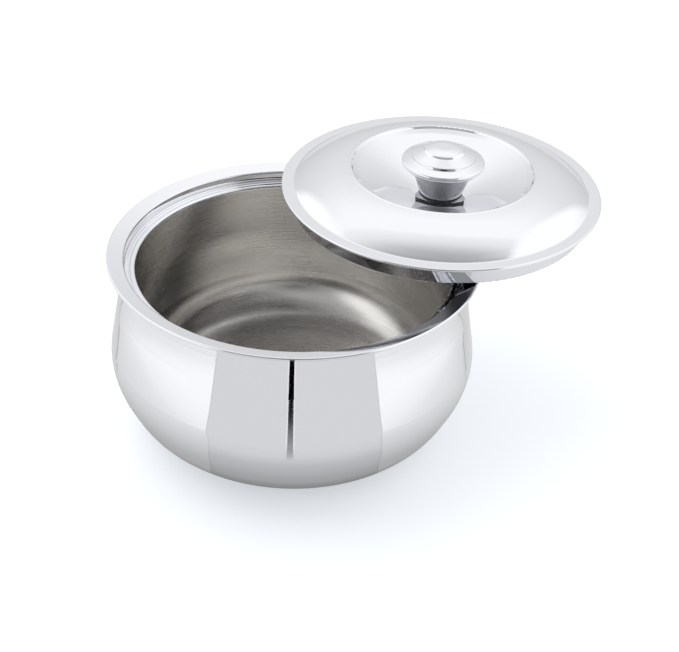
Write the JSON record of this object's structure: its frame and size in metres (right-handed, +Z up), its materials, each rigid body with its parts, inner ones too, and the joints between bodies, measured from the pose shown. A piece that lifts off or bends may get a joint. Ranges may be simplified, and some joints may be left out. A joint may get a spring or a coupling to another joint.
{
  "type": "insulated casserole",
  "caption": "Double-walled polished steel casserole: a belly-shaped pot with a wide rim and stepped mouth, and a loose domed lid with a dished middle and a mushroom knob, laid across the rim.",
  "frame": {"origin": "centre of the pot's flat base ring, on the surface that it stands on", "axes": "+Z up along the pot's axis; the lid lies off the axis towards +X and +Y, so the front is towards -Y"},
  "size_m": [0.2965, 0.2704, 0.1548],
  "materials": {
    "bowl_steel": "polished",
    "liner_steel": "polished",
    "lid_steel": "polished",
    "pan_steel": "polished",
    "knob_steel": "polished",
    "neck_steel": "polished",
    "foam": "matte",
    "plug_plastic": "matte",
    "core_plastic": "matte",
    "insert_brass": "satin",
    "gasket_rubber": "matte",
    "fixing_steel": "satin"
  },
  "bodies": {
    "pot": {"outer_shell": "bowl_steel", "inner_liner": "liner_steel", "pot_foam": "foam", "foam_port_plug": "plug_plastic", "vent_plug": "plug_plastic"},
    "lid": {"lid_top_shell": "lid_steel", "lid_pan": "pan_steel", "lid_foam": "foam", "knob_cap": "knob_steel", "knob_neck": "neck_steel", "knob_core": "core_plastic", "knob_insert": "insert_brass", "knob_gasket": "gasket_rubber", "backing_plate": "fixing_steel", "flat_washer": "fixing_steel", "spring_washer": "fixing_steel", "knob_screw": "fixing_steel"}
  },
  "joints": [
    {"name": "lid_lift", "type": "slide", "parent": "pot", "child": "lid", "axis": [0, 0, 1], "range_m": [0, 0.1]}
  ]
}
